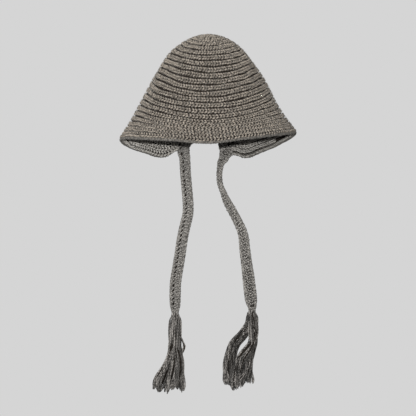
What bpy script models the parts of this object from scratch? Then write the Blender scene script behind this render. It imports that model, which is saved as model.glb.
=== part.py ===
"""A knitted bell hat with two flaps at its back hem, two knitted ties and two tassels.

Metres, +Z up. The front of the hat faces -Y. The origin is the point inside the crown
where the top of the head sits, so the whole hat hangs from there as a head holds it.
"""

import math

import bmesh
import bpy
from mathutils import Vector

# The bell
BELL_DEPTH = 0.1765  # from the top of the crown down to the front hem
RIM_HALF_WIDTH = 0.158  # half of the hat's width at the hem, side to side
RIM_DEPTH_RATIO = 0.88  # the hem's front-to-back size over its width; the crown is round
WALL = 0.005  # the knitted fabric's thickness
RIDGE_COUNT = 23  # knitted ridges from the crown down to the hem
RIDGE_HEIGHT = 0.0020  # from the bottom of a groove to the top of a ridge
FRONT_DIP = 0.017  # how far the rows sag at the front, where they sag most
FLAP_DROP = 0.052  # how far the flaps hang below the front hem
FLAP_TUCK = 0.010  # how far the flaps turn in towards the neck
HEM_DENT = 0.004  # depth of the soft upright fold at the middle of the front hem
LEAN = 0.002  # how far the bell leans towards -X at the hem
CLEARANCE = 0.0003  # between neighbouring pieces

# The rolled edging round the hem
EDGING_RADIUS = 0.0030

# The knitted ties
TIE_WIDTH = 0.020
TIE_THICKNESS = 0.0105
TIE_DROP = {"left": 0.301, "right": 0.287}  # from the hem down to the binding
TIE_ROOT_ANGLE = {"left": 197.2, "right": 167.0}  # round the hem, from the front, in degrees

# The wound binding between a tie and its tassel
BINDING_WIDTH = 0.0135
BINDING_THICKNESS = 0.0095
BINDING_HEIGHT = 0.0050

# The tassels
TASSEL_LENGTH = 0.144
TASSEL_HEAD_WIDTH = 0.0215
TASSEL_HEAD_THICKNESS = 0.014
TASSEL_HEAD_LENGTH = 0.036

# The bell's outline from the side, as shares of BELL_DEPTH and RIM_HALF_WIDTH
PROFILE = (
    # depth, half width
    (0.000, 0.000),
    (0.013, 0.105),
    (0.043, 0.205),
    (0.098, 0.310),
    (0.176, 0.412),
    (0.282, 0.503),
    (0.415, 0.598),
    (0.554, 0.684),
    (0.680, 0.762),
    (0.776, 0.824),
    (0.862, 0.886),
    (0.935, 0.946),
    (1.000, 1.000),
)

# The hem's height round the hat: the angle from the front, in degrees, rising towards
# the hat's own left side at +X, and how far the hem hangs, as a share of FLAP_DROP
HEM = (
    # angle, drop
    (0.0, 0.00),
    (22.0, -0.11),
    (45.0, -0.17),
    (67.0, -0.16),
    (90.0, -0.06),
    (115.0, 0.33),
    (127.0, 0.57),
    (140.0, 0.81),
    (148.0, 0.98),
    (152.5, 1.01),
    (158.0, 0.94),
    (163.0, 0.92),
    (170.5, 0.90),
    (173.0, 0.55),
    (177.0, 0.34),
    (182.0, 0.30),
    (188.0, 0.38),
    (191.0, 0.56),
    (194.0, 0.73),
    (202.0, 0.75),
    (206.0, 0.83),
    (210.0, 0.94),
    (214.0, 0.98),
    (220.0, 0.94),
    (227.0, 0.82),
    (242.0, 0.61),
    (256.0, 0.40),
    (270.0, 0.20),
    (293.0, 0.00),
    (315.0, -0.06),
    (338.0, -0.07),
)

# How strongly the rows follow the front sag and the hem's height, from crown to hem
ROW_SHIFT = (
    # place along the row count, share of FRONT_DIP, share of the hem's drop
    (0.00, 0.00, 0.00),
    (0.20, 0.24, 0.00),
    (0.45, 0.62, 0.00),
    (0.65, 0.94, 0.06),
    (0.78, 0.90, 0.26),
    (0.90, 0.40, 0.66),
    (1.00, 0.00, 1.00),
)

# Columns of the bell's faces round the hat: close together where the hem is most shaped
COLUMN_ZONES = (
    # from angle, to angle, columns
    (0.0, 90.0, 7),
    (90.0, 150.0, 8),
    (150.0, 210.0, 16),
    (210.0, 270.0, 8),
    (270.0, 360.0, 7),
)

# Each tie's route, chosen by hand: how far across (+X) and down from its root on the hem,
# as shares of its TIE_DROP
TIE_ROUTES = {
    "left": (
        # across, down
        (0.0000, 0.000),
        (0.0002, 0.014),
        (0.0062, 0.037),
        (0.0092, 0.086),
        (0.0114, 0.134),
        (0.0156, 0.185),
        (0.0200, 0.236),
        (0.0244, 0.284),
        (0.0274, 0.332),
        (0.0266, 0.385),
        (0.0164, 0.435),
        (0.0043, 0.484),
        (-0.0062, 0.535),
        (-0.0145, 0.586),
        (-0.0212, 0.634),
        (-0.0294, 0.685),
        (-0.0378, 0.736),
        (-0.0459, 0.784),
        (-0.0513, 0.832),
        (-0.0528, 0.884),
        (-0.0530, 0.940),
        (-0.0530, 1.000),
    ),
    "right": (
        (0.0000, 0.000),
        (-0.0010, 0.012),
        (-0.0222, 0.047),
        (-0.0290, 0.084),
        (-0.0325, 0.126),
        (-0.0310, 0.160),
        (-0.0225, 0.199),
        (-0.0085, 0.232),
        (0.0165, 0.293),
        (0.0400, 0.337),
        (0.0640, 0.382),
        (0.0880, 0.429),
        (0.1100, 0.477),
        (0.1240, 0.528),
        (0.1300, 0.590),
        (0.1360, 0.640),
        (0.1430, 0.694),
        (0.1505, 0.748),
        (0.1565, 0.798),
        (0.1625, 0.848),
        (0.1715, 0.925),
        (0.1790, 0.978),
        (0.1792, 1.000),
    ),
}

# How each tie widens, and turns about its own line, on its way down
TIE_SHAPE = {
    "left": (
        # share of the drop, width share, turn in degrees
        (0.00, 1.16, 0.0),
        (0.06, 1.00, 0.0),
        (0.90, 1.04, 0.0),
        (0.96, 0.94, 0.0),
        (1.00, 0.62, 0.0),
    ),
    "right": (
        (0.00, 1.05, 30.0),
        (0.06, 1.00, 66.0),
        (0.11, 1.00, 78.0),
        (0.20, 1.00, 74.0),
        (0.30, 1.00, 48.0),
        (0.45, 1.00, 32.0),
        (0.68, 1.04, 6.0),
        (0.93, 1.14, 0.0),
        (1.00, 0.62, 0.0),
    ),
}

# The locks of each tassel: the route of a lock below the binding, as shares of
# TASSEL_LENGTH across (+X), back (+Y) and down, and the lock's radius as a share of it
TASSEL_LOCKS = {
    "left": (
        # radius, points of (across, back, down)
        (0.046, ((-0.01, -0.01, 0.10), (-0.035, -0.02, 0.36), (-0.055, -0.02, 0.50),
                 (-0.125, -0.015, 0.67), (-0.195, -0.01, 0.82), (-0.262, 0.00, 0.93))),
        (0.046, ((-0.02, 0.02, 0.12), (-0.03, 0.02, 0.40), (-0.045, 0.02, 0.56),
                 (-0.10, 0.015, 0.74), (-0.17, 0.01, 0.88), (-0.20, 0.01, 0.97))),
        (0.042, ((0.00, -0.03, 0.12), (0.00, -0.03, 0.42), (-0.02, -0.03, 0.58),
                 (-0.06, -0.02, 0.76), (-0.10, -0.01, 0.95))),
        (0.046, ((0.01, 0.03, 0.12), (0.03, 0.03, 0.42), (0.03, 0.025, 0.62),
                 (0.00, 0.02, 0.80), (-0.03, 0.01, 0.93))),
        (0.046, ((0.02, -0.02, 0.12), (0.05, -0.02, 0.42), (0.07, -0.02, 0.62),
                 (0.055, -0.015, 0.80), (0.045, -0.01, 0.92))),
        (0.040, ((0.03, 0.01, 0.12), (0.06, 0.01, 0.42), (0.078, 0.01, 0.60),
                 (0.085, 0.01, 0.78), (0.088, 0.00, 0.94))),
        (0.014, ((0.045, 0.00, 0.22), (0.10, 0.00, 0.31), (0.120, 0.00, 0.37),
                 (0.116, 0.00, 0.44), (0.075, 0.00, 0.53))),
    ),
    "right": (
        (0.050, ((-0.02, 0.00, 0.10), (-0.065, 0.00, 0.24), (-0.16, 0.00, 0.34),
                 (-0.245, 0.00, 0.405), (-0.295, 0.00, 0.52), (-0.333, 0.00, 0.68),
                 (-0.327, 0.00, 0.81), (-0.305, 0.00, 0.93))),
        (0.044, ((-0.01, 0.02, 0.12), (-0.05, 0.025, 0.27), (-0.14, 0.025, 0.365),
                 (-0.205, 0.02, 0.44), (-0.26, 0.015, 0.58), (-0.265, 0.01, 0.78),
                 (-0.235, 0.01, 0.97))),
        (0.044, ((0.00, -0.02, 0.12), (0.01, -0.02, 0.34), (-0.035, -0.02, 0.46),
                 (-0.11, -0.02, 0.555), (-0.165, -0.015, 0.66), (-0.185, -0.01, 0.80),
                 (-0.185, -0.01, 0.95))),
        (0.044, ((0.01, 0.03, 0.12), (0.02, 0.03, 0.34), (-0.01, 0.03, 0.50),
                 (-0.07, 0.02, 0.64), (-0.11, 0.01, 0.78), (-0.125, 0.01, 0.93))),
        (0.044, ((0.02, -0.03, 0.12), (0.02, -0.03, 0.36), (0.00, -0.03, 0.52),
                 (-0.04, -0.02, 0.70), (-0.07, -0.01, 0.88))),
        (0.036, ((0.035, 0.01, 0.12), (0.033, 0.01, 0.34), (0.010, 0.01, 0.50),
                 (-0.015, 0.01, 0.66), (-0.03, 0.00, 0.78), (-0.018, 0.00, 0.90))),
    ),
}

EDGING_BEVEL_RESOLUTION = 1
TIE_SECTION_SIDES = 10
LOCK_BEVEL_RESOLUTION = 1
LOCK_STEPS = 7
LOCK_TIP_SHARE = 0.80  # a lock's radius at its tip
BINDING_SIDES = 16
HEAD_SEGMENTS = 12
HEAD_RINGS = 8
HEAD_SQUARENESS = 0.25  # 0 is an egg; more makes the head a barrel
MERGE_DISTANCE = 0.00005
SMOOTH_ANGLE = math.radians(50)
DERIVATIVE_STEP = 0.002

MATERIALS = {
    # colour, roughness
    "hat_knit": ((0.175, 0.150, 0.124), 0.95),
    "tie_knit": ((0.170, 0.155, 0.138), 0.95),
    "tassel_yarn": ((0.115, 0.103, 0.093), 0.92),
}


def clear_scene():
    for item in list(bpy.data.objects):
        bpy.data.objects.remove(item)


def make_material(name):
    colour, roughness = MATERIALS[name]
    material = bpy.data.materials.new(name)
    material.use_nodes = True
    shader = material.node_tree.nodes["Principled BSDF"]
    shader.inputs["Base Color"].default_value = (*colour, 1.0)
    shader.inputs["Roughness"].default_value = roughness
    shader.inputs["Metallic"].default_value = 0.0
    material.diffuse_color = (*colour, 1.0)
    return material


def read_table(table, place, column=1, period=None):
    """The smooth value of a table's column at a place, by a cubic through its rows."""
    rows = [(row[0], row[column]) for row in table]
    if period:
        place %= period
        rows = [(rows[-1][0] - period, rows[-1][1])] + rows
        rows += [(rows[1][0] + period, rows[1][1]), (rows[2][0] + period, rows[2][1])]
    low = max(i for i in range(len(rows) - 1) if rows[i][0] <= place or i == 0)
    (x0, y0), (x1, y1) = rows[low], rows[low + 1]
    before = rows[max(low - 1, 0)]
    after = rows[min(low + 2, len(rows) - 1)]
    slope0 = (y1 - before[1]) / (x1 - before[0])
    slope1 = (after[1] - y0) / (after[0] - x0)
    span = x1 - x0
    t = min(max((place - x0) / span, 0.0), 1.0)
    return (
        (2 * t**3 - 3 * t**2 + 1) * y0
        + (t**3 - 2 * t**2 + t) * span * slope0
        + (3 * t**2 - 2 * t**3) * y1
        + (t**3 - t**2) * span * slope1
    )


def profile_by_length():
    """PROFILE again, with its share of the length from crown to hem as the first column."""
    length = 0.0
    rows = [(0.0, *PROFILE[0])]
    for before, here in zip(PROFILE, PROFILE[1:]):
        down = (here[0] - before[0]) * BELL_DEPTH
        out = (here[1] - before[1]) * RIM_HALF_WIDTH
        length += math.hypot(down, out)
        rows.append((length, *here))
    return [(row[0] / length, row[1], row[2]) for row in rows]


PROFILE_ROWS = profile_by_length()


def bell_point(row, angle):
    """A point of the fabric's outer face: row runs from 0 at the crown to 1 at the hem."""
    depth = BELL_DEPTH * read_table(PROFILE_ROWS, row, 1)
    radius = RIM_HALF_WIDTH * read_table(PROFILE_ROWS, row, 2)
    front = max(0.0, math.cos(math.radians(angle)))
    hem = read_table(HEM, angle, 1, period=360.0)
    follow = read_table(ROW_SHIFT, row, 2)
    depth += FRONT_DIP * front**2 * read_table(ROW_SHIFT, row, 1)
    depth += FLAP_DROP * hem * follow
    radius -= FLAP_TUCK * max(0.0, hem) * follow
    lean = LEAN * row**2
    off_centre = (angle + 184.0) % 360.0 - 180.0
    radius -= HEM_DENT * row**8 * math.exp(-((off_centre / 7.0) ** 2))
    ratio = 1.0 + (RIM_DEPTH_RATIO - 1.0) * row
    turn = math.radians(angle)
    x = radius * math.sin(turn) - lean
    y = -radius * ratio * math.cos(turn)
    return Vector((x, y, WALL - depth))


def bell_frame(row, angle):
    """The direction towards the hem and the direction out of the fabric, at a point."""
    row = max(row, DERIVATIVE_STEP)
    inner = min(row + DERIVATIVE_STEP, 1.0)
    down = bell_point(inner, angle) - bell_point(inner - DERIVATIVE_STEP, angle)
    along = bell_point(row, angle + 1.0) - bell_point(row, angle - 1.0)
    outward = down.cross(along).normalized()
    return (along.cross(outward)).normalized(), outward


def column_angles():
    angles = [0.0]
    for start, end, count in COLUMN_ZONES:
        step = (end - start) / count
        angles += [start + step * (i + 1) for i in range(count)]
    return angles


def new_object(name, data, material):
    item = bpy.data.objects.new(name, data)
    data.materials.append(material)
    PIECES.objects.link(item)
    return item


def finish_mesh(item):
    item.data.shade_smooth()
    item.data.set_sharp_from_angle(angle=SMOOTH_ANGLE)


def mesh_of_curve(item):
    """A closed mesh of a curve object, which it takes the place of."""
    bpy.context.view_layer.update()
    evaluated = item.evaluated_get(bpy.context.evaluated_depsgraph_get())
    mesh = bpy.data.meshes.new_from_object(evaluated)
    sides = bmesh.new()
    sides.from_mesh(mesh)
    bmesh.ops.remove_doubles(sides, verts=sides.verts, dist=MERGE_DISTANCE)
    bmesh.ops.recalc_face_normals(sides, faces=sides.faces)
    sides.to_mesh(mesh)
    sides.free()
    solid = bpy.data.objects.new(item.name + "_solid", mesh)
    solid.matrix_world = item.matrix_world
    bpy.data.objects.remove(item)
    return solid


def build_bell(material):
    """The crown, the flared brim and the two flaps, knitted in one: a grid wrapped round."""
    angles = column_angles()
    columns = len(angles) - 1
    rings = 2 * RIDGE_COUNT
    grid = bmesh.new()
    bmesh.ops.create_grid(grid, x_segments=columns, y_segments=rings, size=1.0)
    for vert in grid.verts:
        column = round((vert.co.x + 1.0) / 2.0 * columns)
        ring = round((vert.co.y + 1.0) / 2.0 * rings)
        row = ring / rings
        angle = angles[column]
        on_ridge = ring % 2 == 1 and ring > 1
        vert.co = bell_point(row, angle)
        if on_ridge:
            vert.co += bell_frame(row, angle)[1] * RIDGE_HEIGHT
    bmesh.ops.remove_doubles(grid, verts=grid.verts, dist=MERGE_DISTANCE)
    bmesh.ops.recalc_face_normals(grid, faces=grid.faces)
    if max(grid.faces, key=lambda face: face.calc_center_median().z).normal.z < 0:
        bmesh.ops.reverse_faces(grid, faces=grid.faces)
    mesh = bpy.data.meshes.new("bell")
    grid.to_mesh(mesh)
    grid.free()
    bell = new_object("bell", mesh, material)
    wall = bell.modifiers.new("knitted wall", "SOLIDIFY")
    wall.thickness = WALL
    wall.offset = -1.0
    finish_mesh(bell)
    return bell


def edging_point(angle):
    """The middle of the rolled edging, just past the hem's mid-wall."""
    down, outward = bell_frame(1.0, angle)
    middle = bell_point(1.0, angle) - outward * WALL / 2
    return middle + down * (EDGING_RADIUS + CLEARANCE)


def build_edging(material):
    """The rolled edging: a closed tube that follows the whole hem."""
    line = bpy.data.curves.new("hem_edging", "CURVE")
    line.dimensions = "3D"
    line.bevel_depth = EDGING_RADIUS
    line.bevel_resolution = EDGING_BEVEL_RESOLUTION
    path = line.splines.new("POLY")
    points = [edging_point(angle) for angle in column_angles()[:-1]]
    path.points.add(len(points) - 1)
    for point, place in zip(path.points, points):
        point.co = (*place, 1.0)
    path.use_cyclic_u = True
    return new_object("hem_edging", line, material)


def tie_root(side):
    """The middle of a tie's top end, just under the lowest edging across its width."""
    angle = TIE_ROOT_ANGLE[side]
    half_turn = math.degrees(0.65 * TIE_WIDTH / RIM_HALF_WIDTH)
    across = [edging_point(angle + half_turn * i / 4) for i in range(-4, 5)]
    middle = across[4]
    top = min(point.z for point in across) - EDGING_RADIUS - CLEARANCE
    return Vector((middle.x, middle.y, top))


def tie_line(side):
    """The points of a tie's middle line, from its root to its binding."""
    root = tie_root(side)
    drop = TIE_DROP[side]
    return [root + Vector((across, 0.0, -down)) * drop for across, down in TIE_ROUTES[side]]


def tie_section():
    """The tie's flattened oval section, as a closed flat curve."""
    data = bpy.data.curves.new("tie_section", "CURVE")
    data.dimensions = "2D"
    outline = data.splines.new("POLY")
    outline.points.add(TIE_SECTION_SIDES - 1)
    for i, point in enumerate(outline.points):
        turn = -2 * math.pi * (i + 0.5) / TIE_SECTION_SIDES
        x = TIE_WIDTH / 2 * math.cos(turn)
        y = TIE_THICKNESS / 2 * math.sin(turn)
        point.co = (x, y, 0.0, 1.0)
    outline.use_cyclic_u = True
    section = bpy.data.objects.new("tie_section", data)
    section.hide_render = True
    section.display_type = "WIRE"
    GUIDES.objects.link(section)
    return section


def build_tie(side, section, material):
    """A knitted tie: the oval section drawn along its route, widened and turned on the way."""
    line = bpy.data.curves.new("tie_" + side, "CURVE")
    line.dimensions = "3D"
    line.bevel_mode = "OBJECT"
    line.bevel_object = section
    line.use_fill_caps = True
    line.twist_mode = "MINIMUM"
    path = line.splines.new("POLY")
    places = tie_line(side)
    path.points.add(len(places) - 1)
    for point, place in zip(path.points, places):
        share = (places[0].z - place.z) / TIE_DROP[side]
        point.co = (*place, 1.0)
        point.radius = read_table(TIE_SHAPE[side], share, 1)
        point.tilt = math.radians(90.0 + read_table(TIE_SHAPE[side], share, 2))
    return new_object("tie_" + side, line, material)


def build_binding(side, material):
    """The yarn wound tight round the foot of a tie."""
    foot = tie_line(side)[-1]
    bpy.ops.mesh.primitive_cylinder_add(
        vertices=BINDING_SIDES, radius=0.5, depth=BINDING_HEIGHT,
        location=(foot.x, foot.y, foot.z - CLEARANCE - BINDING_HEIGHT / 2),
    )
    band = bpy.context.object
    band.name = "binding_" + side
    for vert in band.data.vertices:
        vert.co.x *= BINDING_WIDTH
        vert.co.y *= BINDING_THICKNESS
    for owner in list(band.users_collection):
        owner.objects.unlink(band)
    PIECES.objects.link(band)
    band.data.materials.append(material)
    edge = band.modifiers.new("worn edge", "BEVEL")
    edge.width = BINDING_HEIGHT / 4
    edge.segments = 1
    finish_mesh(band)
    return band


def tassel_top(side):
    """The point under the binding where a tassel's head begins."""
    foot = tie_line(side)[-1]
    return foot - Vector((0.0, 0.0, BINDING_HEIGHT + 2 * CLEARANCE))


def build_lock(side, index, radius, route):
    """One lock of yarn: a tapered tube through its route, as a closed mesh."""
    line = bpy.data.curves.new(f"lock_{side}_{index}", "CURVE")
    line.dimensions = "3D"
    line.bevel_depth = radius * TASSEL_LENGTH
    line.bevel_resolution = LOCK_BEVEL_RESOLUTION
    line.use_fill_caps = True
    path = line.splines.new("POLY")
    path.points.add(LOCK_STEPS)
    tables = [[(i, point[axis]) for i, point in enumerate(route)] for axis in range(3)]
    for step, point in enumerate(path.points):
        place = (len(route) - 1) * step / LOCK_STEPS
        across, back, down = (read_table(table, place) for table in tables)
        offset = Vector((across, back, -down)) * TASSEL_LENGTH
        point.co = (*(tassel_top(side) + offset), 1.0)
        point.radius = 1.0 + (LOCK_TIP_SHARE - 1.0) * (step / LOCK_STEPS) ** 4
    lock = bpy.data.objects.new(line.name, line)
    GUIDES.objects.link(lock)
    solid = mesh_of_curve(lock)
    solid.hide_render = True
    solid.display_type = "WIRE"
    GUIDES.objects.link(solid)
    return solid


def build_tassel(side, material):
    """The tassel's rounded head with its locks of yarn fused to it."""
    top = tassel_top(side)
    head = bmesh.new()
    bmesh.ops.create_uvsphere(
        head, u_segments=HEAD_SEGMENTS, v_segments=HEAD_RINGS, radius=0.5
    )
    for vert in head.verts:
        square = max(1.0 - 4.0 * vert.co.z**2, 0.05) ** -HEAD_SQUARENESS
        vert.co.x *= TASSEL_HEAD_WIDTH * square
        vert.co.y *= TASSEL_HEAD_THICKNESS * square
        vert.co.z *= TASSEL_HEAD_LENGTH
        vert.co += top - Vector((0.0, 0.0, TASSEL_HEAD_LENGTH / 2))
    mesh = bpy.data.meshes.new("tassel_" + side)
    head.to_mesh(mesh)
    head.free()
    tassel = new_object("tassel_" + side, mesh, material)
    for index, (radius, route) in enumerate(TASSEL_LOCKS[side]):
        lock = build_lock(side, index, radius, route)
        fuse = tassel.modifiers.new(f"fuse lock {index}", "BOOLEAN")
        fuse.operation = "UNION"
        fuse.object = lock
    finish_mesh(tassel)
    return tassel


clear_scene()
PIECES = bpy.data.collections.new("knitted_hat")
GUIDES = bpy.data.collections.new("guides")
bpy.context.scene.collection.children.link(PIECES)
bpy.context.scene.collection.children.link(GUIDES)
HAT_KNIT = make_material("hat_knit")
TIE_KNIT = make_material("tie_knit")
TASSEL_YARN = make_material("tassel_yarn")
build_bell(HAT_KNIT)
build_edging(HAT_KNIT)
SECTION = tie_section()
for SIDE in ("left", "right"):
    build_tie(SIDE, SECTION, TIE_KNIT)
    build_binding(SIDE, TASSEL_YARN)
    build_tassel(SIDE, TASSEL_YARN)
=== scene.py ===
# %% [markdown]
# # A knitted bell hat with two ties
# The hat is knitted from one chunky, marled yarn. From far off it is a bell with a flared
# brim; from near by it is thousands of small loops. A bump map alone would leave the
# outline smooth and the grooves grey, so the loops here are real geometry: each one is a
# short, thick tube that lies on the fabric, and the dark between them is real shadow,
# deepened by a near-black ground of painted shade behind them.

# %% Load the imported model
import math

import bpy
import numpy as np
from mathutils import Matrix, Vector


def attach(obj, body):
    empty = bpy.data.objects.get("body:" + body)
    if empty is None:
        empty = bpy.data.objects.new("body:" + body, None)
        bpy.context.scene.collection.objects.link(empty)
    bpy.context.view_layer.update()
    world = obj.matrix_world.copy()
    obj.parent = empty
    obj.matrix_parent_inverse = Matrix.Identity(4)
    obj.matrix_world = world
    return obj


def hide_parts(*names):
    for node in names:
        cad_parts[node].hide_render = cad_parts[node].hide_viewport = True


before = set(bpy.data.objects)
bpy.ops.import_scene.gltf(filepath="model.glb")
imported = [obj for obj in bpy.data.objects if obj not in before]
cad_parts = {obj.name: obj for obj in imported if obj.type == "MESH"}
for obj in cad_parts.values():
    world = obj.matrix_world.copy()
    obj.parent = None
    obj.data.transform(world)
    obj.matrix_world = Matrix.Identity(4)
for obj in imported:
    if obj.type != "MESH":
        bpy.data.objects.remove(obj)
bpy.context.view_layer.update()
rng = np.random.default_rng(27)
print("nodes:", ", ".join(sorted(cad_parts)))

# %% [markdown]
# ## The camera
# The hat is seen from the front and a little above, through a long lens, so near and far
# rims keep nearly the same scale. The frame is about 75 cm wide at the hat.

# %% Camera
ELEVATION = math.radians(7)
PIXEL = 0.0018  # the size of one photo pixel at the hat
FRAME_PIXELS = 416
TOP_PIXEL = 34.9  # the row of the crown's top
AXIS_PIXEL = 208.5  # the column of the hat's upright axis
WALL = 0.005  # of the knitting; z is 0 at the crown's inner face


def new_object(name, data):
    """An object in the scene that holds this mesh, lamp or camera."""
    made = bpy.data.objects.new(name, data)
    bpy.context.scene.collection.objects.link(made)
    return made


view_up = Vector((0, math.sin(ELEVATION), math.cos(ELEVATION)))
view_forward = Vector((0, math.cos(ELEVATION), -math.sin(ELEVATION)))
centre = FRAME_PIXELS / 2
aim = Vector((1, 0, 0)) * (centre - AXIS_PIXEL) * PIXEL
aim += view_up * (WALL - (centre - TOP_PIXEL) * PIXEL)

camera_data = bpy.data.cameras.new("camera")
camera_data.sensor_width = 36
camera_data.lens = 300
distance = FRAME_PIXELS * PIXEL * camera_data.lens / camera_data.sensor_width
camera = new_object("camera", camera_data)
camera.location = aim - view_forward * distance
camera.rotation_euler = (math.radians(90) - ELEVATION, 0, 0)
camera_data.clip_end = 100
bpy.context.scene.camera = camera
print(f"camera {distance:.2f} m away")

# %% [markdown]
# ## The shape of the fabric
# The fabric is one surface with two coordinates: the row, from 0 at the crown to 1 at the
# hem, and the angle round the hat, from 0 at the front. Three short tables hold what gives
# the hat its character: the bell's outline, the height of the hem round the hat with its
# two flaps, and how much the rows in between follow the hem or sag at the front.

# %% Measures of the bell
BELL_DEPTH = 0.1765
RIM_HALF_WIDTH = 0.158
RIM_DEPTH_RATIO = 0.88
ROW_COUNT = 23
FRONT_DIP = 0.017  # how far the rows sag at the front
FLAP_DROP = 0.052  # how far the flaps reach down
FLAP_TUCK = 0.010  # how far they lie inwards
HEM_DENT = 0.004
DENT_ANGLE = -4.0
LEAN = 0.002  # how far the rim lies to the left of the crown

PROFILE = (
    # depth, half width
    (0, 0), (0.013, 0.105), (0.043, 0.205), (0.098, 0.310), (0.176, 0.412),
    (0.282, 0.503), (0.415, 0.598), (0.554, 0.684), (0.680, 0.762), (0.776, 0.824),
    (0.862, 0.886), (0.935, 0.946), (1, 1),
)
HEM = (
    # angle, drop
    (0, 0), (22, -0.11), (45, -0.17), (67, -0.16), (90, -0.06), (115, 0.33), (127, 0.57),
    (140, 0.81), (148, 0.98), (152.5, 1.01), (158, 0.94), (163, 0.92), (167.8, 0.90),
    (170.2, 0.55), (174.2, 0.34), (182, 0.30), (189.5, 0.38), (192.5, 0.56), (195.3, 0.73),
    (202, 0.75), (206, 0.83), (210, 0.94), (214, 0.98), (220, 0.94), (227, 0.82),
    (242, 0.61), (256, 0.40), (270, 0.20), (293, 0), (315, -0.06), (338, -0.07),
)
ROW_SHIFT = (
    # row, share of FRONT_DIP, share of the hem's drop
    (0, 0, 0), (0.20, 0.24, 0), (0.45, 0.62, 0), (0.65, 0.94, 0.06), (0.78, 0.90, 0.26),
    (0.90, 0.40, 0.66), (1, 0, 1),
)
print(f"bell {BELL_DEPTH * 1000:.0f} mm deep, rim {RIM_HALF_WIDTH * 2000:.0f} mm wide")

# %% [markdown]
# A table's rows lie far apart. A cubic through them bends as softly as the fabric does, and
# can be read at thousands of places at once.

# %% Reading a table between its rows
def read_table(table, places, column=1, period=None):
    """The smooth values of a table's column at many places, by a cubic through its rows."""
    rows = np.array([(row[0], row[column]) for row in table], float)
    places = np.asarray(places, float)
    if period:
        turn = np.array([period, 0.0])
        places = places % period
        rows = np.vstack([rows[-1] - turn, rows, rows[0] + turn, rows[1] + turn])
    x, y = rows.T
    slope = np.empty_like(y)
    slope[1:-1] = (y[2:] - y[:-2]) / (x[2:] - x[:-2])
    slope[0] = (y[1] - y[0]) / (x[1] - x[0])
    slope[-1] = (y[-1] - y[-2]) / (x[-1] - x[-2])
    i = np.clip(np.searchsorted(x, places, side="right") - 1, 0, len(x) - 2)
    span = x[i + 1] - x[i]
    t = np.clip((places - x[i]) / span, 0.0, 1.0)
    start = (2 * t**3 - 3 * t**2 + 1) * y[i] + (t**3 - 2 * t**2 + t) * span * slope[i]
    end = (3 * t**2 - 2 * t**3) * y[i + 1] + (t**3 - t**2) * span * slope[i + 1]
    return start + end


lengths = [0.0]
for before, here in zip(PROFILE, PROFILE[1:]):
    down = (here[0] - before[0]) * BELL_DEPTH
    out = (here[1] - before[1]) * RIM_HALF_WIDTH
    lengths.append(lengths[-1] + math.hypot(down, out))
BY_LENGTH = [(along / lengths[-1], *row) for along, row in zip(lengths, PROFILE)]
print(f"crown to hem: {lengths[-1] * 1000:.0f} mm in {ROW_COUNT} rows")

# %% [markdown]
# Every stitch has to know where the fabric is and which way it faces. Draped cloth would
# have to be searched for that, so the fabric is a formula: the bell's outline turned round
# the axis, with its hem, its lean and a few shallow folds.

# %% The fabric as a surface
FOLD_DEPTH = 0.0026
FOLD_ANGLE = -2.0
SWELL = 0.0011
STEP_DOWN, STEP_ROUND = 0.002, 0.6  # of rows and degrees, for the fabric's slopes


def degrees_off(angle, middle):
    """How far an angle lies from a middle one, from -180 to 180 degrees."""
    return (angle - middle + 180.0) % 360.0 - 180.0


def soft_folds(row, angle):
    """The shallow upright fold down the front, and the fabric's slow swelling round it."""
    turn = np.radians(angle)
    fold = -FOLD_DEPTH * np.exp(-((degrees_off(angle, FOLD_ANGLE) / 8.0) ** 2))
    swell = SWELL * (np.sin(5 * turn + 9 * row) + np.sin(9 * turn - 14 * row + 1.0))
    return (fold + swell) * np.sin(np.pi * row)


def bell_surface(row, angle):
    """Points of the fabric's outer face, for arrays of rows and angles in degrees."""
    row, angle = np.broadcast_arrays(np.asarray(row, float), np.asarray(angle, float))
    depth = BELL_DEPTH * read_table(BY_LENGTH, row, 1)
    radius = RIM_HALF_WIDTH * read_table(BY_LENGTH, row, 2)
    front = np.maximum(0.0, np.cos(np.radians(angle)))
    hem = read_table(HEM, angle, 1, period=360.0)
    follow = read_table(ROW_SHIFT, row, 2)
    depth = depth + FRONT_DIP * front**2 * read_table(ROW_SHIFT, row, 1)
    depth = depth + FLAP_DROP * hem * follow
    radius = radius - FLAP_TUCK * np.maximum(0.0, hem) * follow
    radius = radius - HEM_DENT * row**8 * np.exp(-((degrees_off(angle, DENT_ANGLE) / 7.0) ** 2))
    radius = radius + soft_folds(row, angle)
    ratio = 1.0 + (RIM_DEPTH_RATIO - 1.0) * row
    x = radius * np.sin(np.radians(angle)) - LEAN * row**2
    y = -radius * ratio * np.cos(np.radians(angle))
    return np.stack([x, y, WALL - depth], axis=-1)


def unit(vectors):
    size = np.linalg.norm(vectors, axis=-1, keepdims=True)
    return vectors / np.maximum(size, 1e-12)


def fabric_frame(row, angle):
    """Points of the fabric, and three directions at each: round the hat, down it, out of it."""
    row = np.clip(row, 0.004, 1.0)
    below = np.minimum(row + STEP_DOWN, 1.0)
    down = bell_surface(below, angle) - bell_surface(row - STEP_DOWN, angle)
    around = bell_surface(row, angle + STEP_ROUND) - bell_surface(row, angle - STEP_ROUND)
    around = unit(around)
    outward = unit(np.cross(down, around))
    return bell_surface(row, angle), around, np.cross(around, outward), outward


print("front of the rim:", np.round(bell_surface(1.0, 0.0), 3))

# %% [markdown]
# ## The yarn
# Marled yarn is spun from a lighter and a darker ply, so each loop shows slanting flecks.
# A wave along the tube's own coordinates gives the two plies and a bump for their twist;
# noise makes some stretches lighter than others, as undyed wool is. A little sheen stands
# for the loose fibres that catch the light at a glancing angle.

# %% Material of the yarn
def set_inputs(node, inputs):
    """Set a shader node's inputs to values, or link them to other nodes' outputs."""
    for name, value in inputs.items():
        if isinstance(value, bpy.types.NodeSocket):
            node.id_data.links.new(value, node.inputs[name])
        else:
            node.inputs[name].default_value = value


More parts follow.
